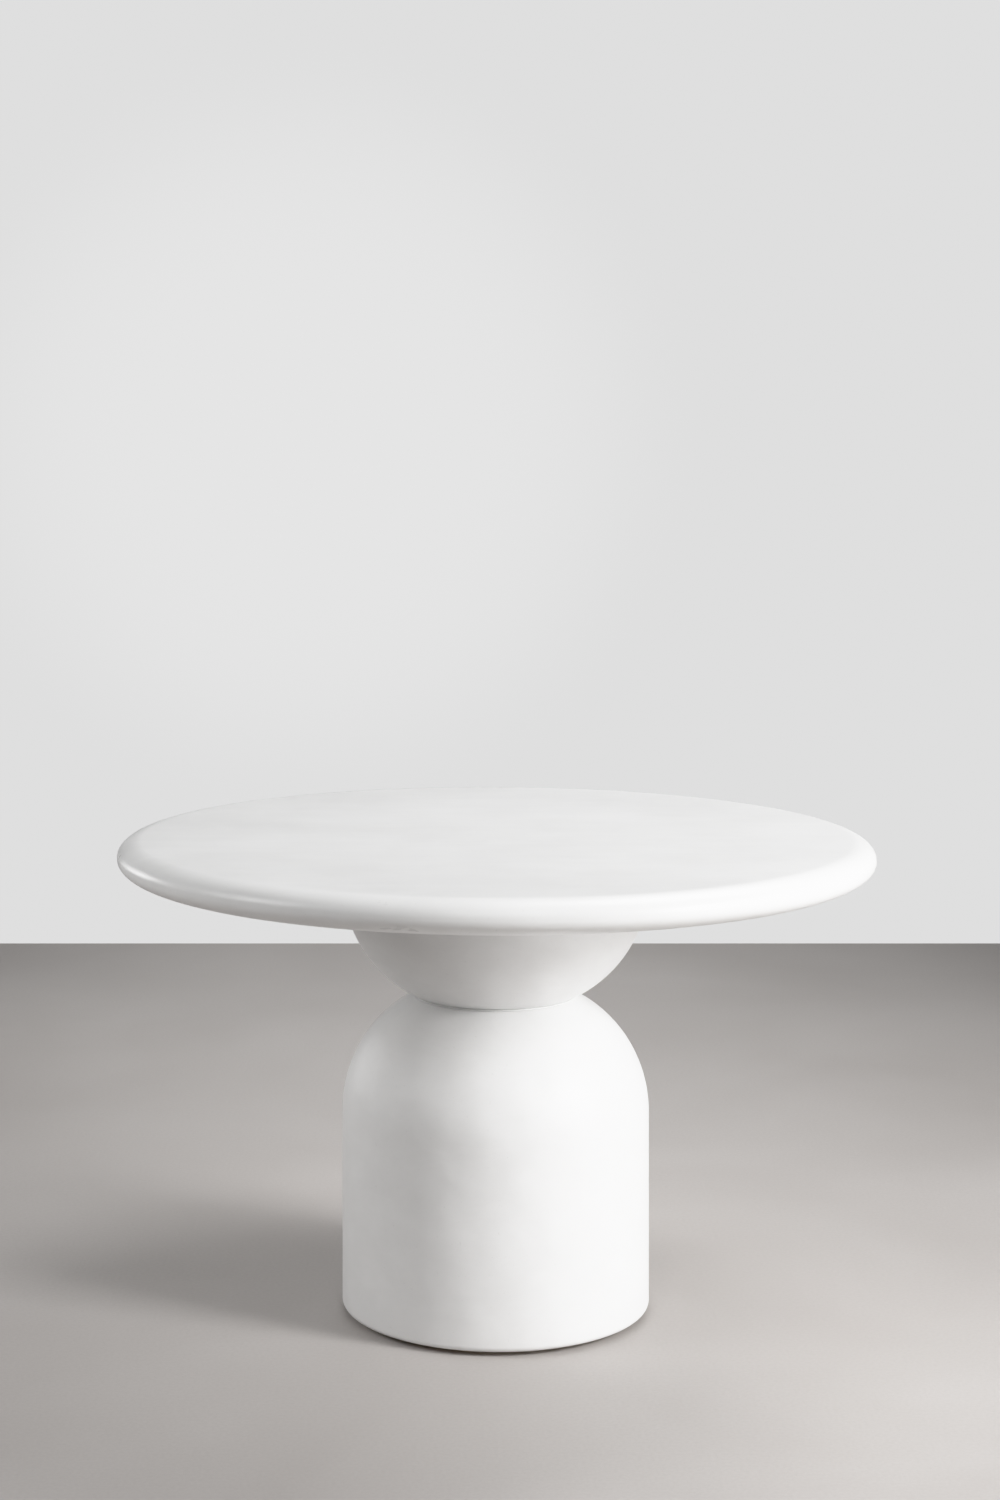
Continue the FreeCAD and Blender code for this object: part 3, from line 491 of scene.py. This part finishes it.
def neck_seal(material):
    """The pale seal between bowl and drum, with the bead that fills the groove around it."""
    low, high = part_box("neck_gasket")
    middle, bead = (low.z + high.z) / 2, (high.z - low.z) / 2
    half = (BOWL_LOW.z - DRUM_HIGH.z) / 2
    outline = [(ROD_HOLE, middle + half), (NECK_RADIUS, middle + half)]
    outline += arc((radius_of(low, high) - bead, middle), (bead, bead), 90, -90, BEAD_STEPS)
    outline += [(NECK_RADIUS, middle - half), (ROD_HOLE, middle - half)]
    dress(lathe("neck_seal", outline, PEDESTAL_SEGMENTS), "root", "rubber", material, "neck_gasket")


def dress_cad_nodes(materials):
    """Gives each CAD node that stays in the scene the material of its slot."""
    for row in frame["record"]["subparts"]:
        slots = frame["nodes"][row["node"]].data.materials
        slots.clear()
        slots.append(materials[row["material_slot"]])


# ---- the studio ------------------------------------------------------------------------------------

AIM = Vector((0.0, 0.0, 0.55))
SOFTBOX_DISTANCE = 3.4
GRID_SPREAD = 110.0                        # degrees within which a softbox shines
WASH_SPREAD = 70.0                         # the same for the light on the floor behind the table
WASH_AIM = Vector((0.0, 2.8, 0.0))
BOARD_LIGHT_SHARE = 0.84                   # width of the light under the base board, as a share of it
BOARD_LIGHT_HEIGHT = 0.001
POOL_WAY = Vector((-0.045, 1.0, 0.0))      # the way from the table to the pool of light on the backdrop
POOL_REACH = 9                             # degrees from its middle to its edge
BRIGHTEST = 2.0                            # light that shows as the lightest tone
KNEE, HEADROOM = 0.5, 0.48                 # where bright tones start to roll off, and how far they reach
ROLL_OFF_POINTS = (0.25, 0.5, 0.6, 0.7, 0.85, 1.0, 1.2, 1.5)

# Softboxes around the table: name, azimuth and elevation in degrees, side in metres, watts.
SOFTBOXES = (
    ("key", 60, 22, 0.8, 34),
    ("key_low", 60, 8, 1.6, 27),
    ("back_above", 130, 60, 1.6, 27),
    ("left", -72, 26, 1.5, 14),
    ("left_low", -124, 8, 0.8, 5.5),
    ("front", 0, 42, 1.6, 5.5),
)


def area_light(name, shape, size, energy, spread):
    """A soft light that the camera doesn't see."""
    light = bpy.data.lights.new(name, "AREA")
    light.shape = shape
    light.size = size
    light.energy = energy
    light.spread = math.radians(spread)
    lamp = bpy.data.objects.new(name, light)
    lamp.visible_camera = False
    bpy.context.scene.collection.objects.link(lamp)
    return lamp


def softbox(name, azimuth, elevation, size, energy, aim=AIM, spread=GRID_SPREAD):
    """A square soft light with a grid.  Azimuth 0 is behind the camera and 90 is to its right."""
    lamp = area_light(name, "SQUARE", size, energy, spread)
    across, up = math.radians(azimuth), math.radians(elevation)
    away = Vector((math.sin(across) * math.cos(up), -math.cos(across) * math.cos(up), math.sin(up)))
    lamp.location = aim + away * SOFTBOX_DISTANCE
    lamp.rotation_mode = "QUATERNION"
    lamp.rotation_quaternion = away.to_track_quat("Z", "Y")


def light_under_board(energy):
    """A weak light on the floor below the base board, so that the underside shows when looked at."""
    width = BOARD_LIGHT_SHARE * (BOARD_HIGH.x - BOARD_LOW.x)
    lamp = area_light("under_board", "DISK", width, energy, GRID_SPREAD)
    lamp.location = (0.0, 0.0, BOARD_LIGHT_HEIGHT)
    lamp.rotation_euler = (math.radians(180), 0.0, 0.0)


def studio_world(backdrop, pool, fill):
    """A backdrop with a soft pool of light behind the table, seen by the camera alone, and an even
    fill for the table."""
    world = bpy.data.worlds.new("studio")
    world.use_nodes = True
    nodes, links = world.node_tree.nodes, world.node_tree.links
    lit = nodes["Background"]
    lit.inputs["Color"].default_value = (1.0, 1.0, 1.0, 1.0)
    lit.inputs["Strength"].default_value = fill
    towards = nodes.new("ShaderNodeVectorMath")
    towards.operation = "DOT_PRODUCT"
    towards.inputs[1].default_value = POOL_WAY.normalized()
    links.new(nodes.new("ShaderNodeTexCoord").outputs["Generated"], towards.inputs[0])
    nearness = nodes.new("ShaderNodeMapRange")
    nearness.interpolation_type = "SMOOTHERSTEP"
    nearness.inputs["From Min"].default_value = math.cos(math.radians(POOL_REACH))
    nearness.inputs["To Min"].default_value = backdrop
    nearness.inputs["To Max"].default_value = pool
    links.new(towards.outputs["Value"], nearness.inputs["Value"])
    seen = nodes.new("ShaderNodeBackground")
    links.new(nearness.outputs["Result"], seen.inputs["Strength"])
    seen.inputs["Color"].default_value = (1.0, 1.0, 1.0, 1.0)
    mixed = nodes.new("ShaderNodeMixShader")
    ray = nodes.new("ShaderNodeLightPath")
    links.new(ray.outputs["Is Camera Ray"], mixed.inputs[0])
    links.new(lit.outputs[0], mixed.inputs[1])
    links.new(seen.outputs[0], mixed.inputs[2])
    links.new(mixed.outputs[0], nodes["World Output"].inputs["Surface"])
    bpy.context.scene.world = world


def floor(material):
    """A plain floor whose far edge is the line where the backdrop begins."""
    half_width, near, far = 3.6, -3.6, 2.97
    mesh = bpy.data.meshes.new("floor")
    mesh.from_pydata([(-half_width, near, 0.0), (half_width, near, 0.0),
                      (half_width, far, 0.0), (-half_width, far, 0.0)], [], [(0, 1, 2, 3)])
    mesh.materials.append(material)
    ground = bpy.data.objects.new("floor", mesh)
    bpy.context.scene.collection.objects.link(ground)


def camera():
    """A level camera, framed low and a little to the right with lens shift."""
    data = bpy.data.cameras.new("camera")
    data.sensor_width = 36.0
    data.lens = 63.2
    data.shift_x = 0.048
    data.shift_y = -0.212
    data.clip_end = 60.0
    eye = bpy.data.objects.new("camera", data)
    eye.location = (-0.1075, -4.203, 1.393)
    eye.rotation_euler = (math.radians(90), 0.0, 0.0)
    bpy.context.scene.collection.objects.link(eye)
    bpy.context.scene.camera = eye


def rolled_off(brightness):
    """A brightness as it shows: as it is up to the knee, and then ever less."""
    if brightness < KNEE:
        return brightness
    return KNEE + HEADROOM * math.tanh((brightness - KNEE) / KNEE)


def soft_highlights():
    """Bright tones that roll off before white, where the table would burn out."""
    view = bpy.context.scene.view_settings
    view.view_transform = "Standard"
    view.use_curve_mapping = True
    view.curve_mapping.white_level = (BRIGHTEST, BRIGHTEST, BRIGHTEST)
    curve = view.curve_mapping.curves[3]
    curve.points[0].location = (0.0, 0.0)
    curve.points[1].location = (1.0, rolled_off(BRIGHTEST))
    for brightness in ROLL_OFF_POINTS:
        curve.points.new(brightness / BRIGHTEST, rolled_off(brightness))
    view.curve_mapping.update()


def body_materials(white):
    """The material of each slot of the record, with the pedestal's white cement given."""
    return {
        "white_cement": white,
        "honeycomb": honeycomb("honeycomb_paper"),
        "plywood": plywood("birch_plywood"),
        "black_steel": steel("black_steel", (0.018, 0.018, 0.020), (0.045, 0.045, 0.048), 0.38, 0.55, 0.0),
        "zinc_steel": steel("zinc_steel", (0.46, 0.47, 0.50), (0.68, 0.69, 0.70), 0.28, 0.46, 1.0),
        "rubber": soft_plastic("pale_rubber", (0.740, 0.738, 0.730), (0.800, 0.798, 0.792), 900.0),
        "grey_concrete": concrete("grey_concrete", (0.30, 0.29, 0.27), (0.46, 0.45, 0.43), 4.0),
        "glide_plastic": soft_plastic("glide_plastic", (0.030, 0.030, 0.031), (0.060, 0.059, 0.057),
                                      1400.0),
    }


def main():
    top_cement = cement("white_cement_top", (0.45, 2.2, 1.0), 0.0005, 0.34, rim_of_top)
    body_cement = cement("white_cement_pedestal", (0.8, 0.8, 1.9), 0.0044, 0.42, foot_of_drum)
    materials = body_materials(body_cement)
    dress_cad_nodes(materials)
    tabletop(top_cement)
    underside(body_cement)
    bowl(body_cement)
    drum(body_cement)
    neck_seal(materials["rubber"])
    floor(pale_floor("pale_floor"))
    studio_world(backdrop=0.770, pool=0.840, fill=0.11)
    for row in SOFTBOXES:
        softbox(*row)
    softbox("floor_wash", 180, 60, 2.6, 12, WASH_AIM, WASH_SPREAD)
    light_under_board(0.10)
    camera()
    soft_highlights()


main()
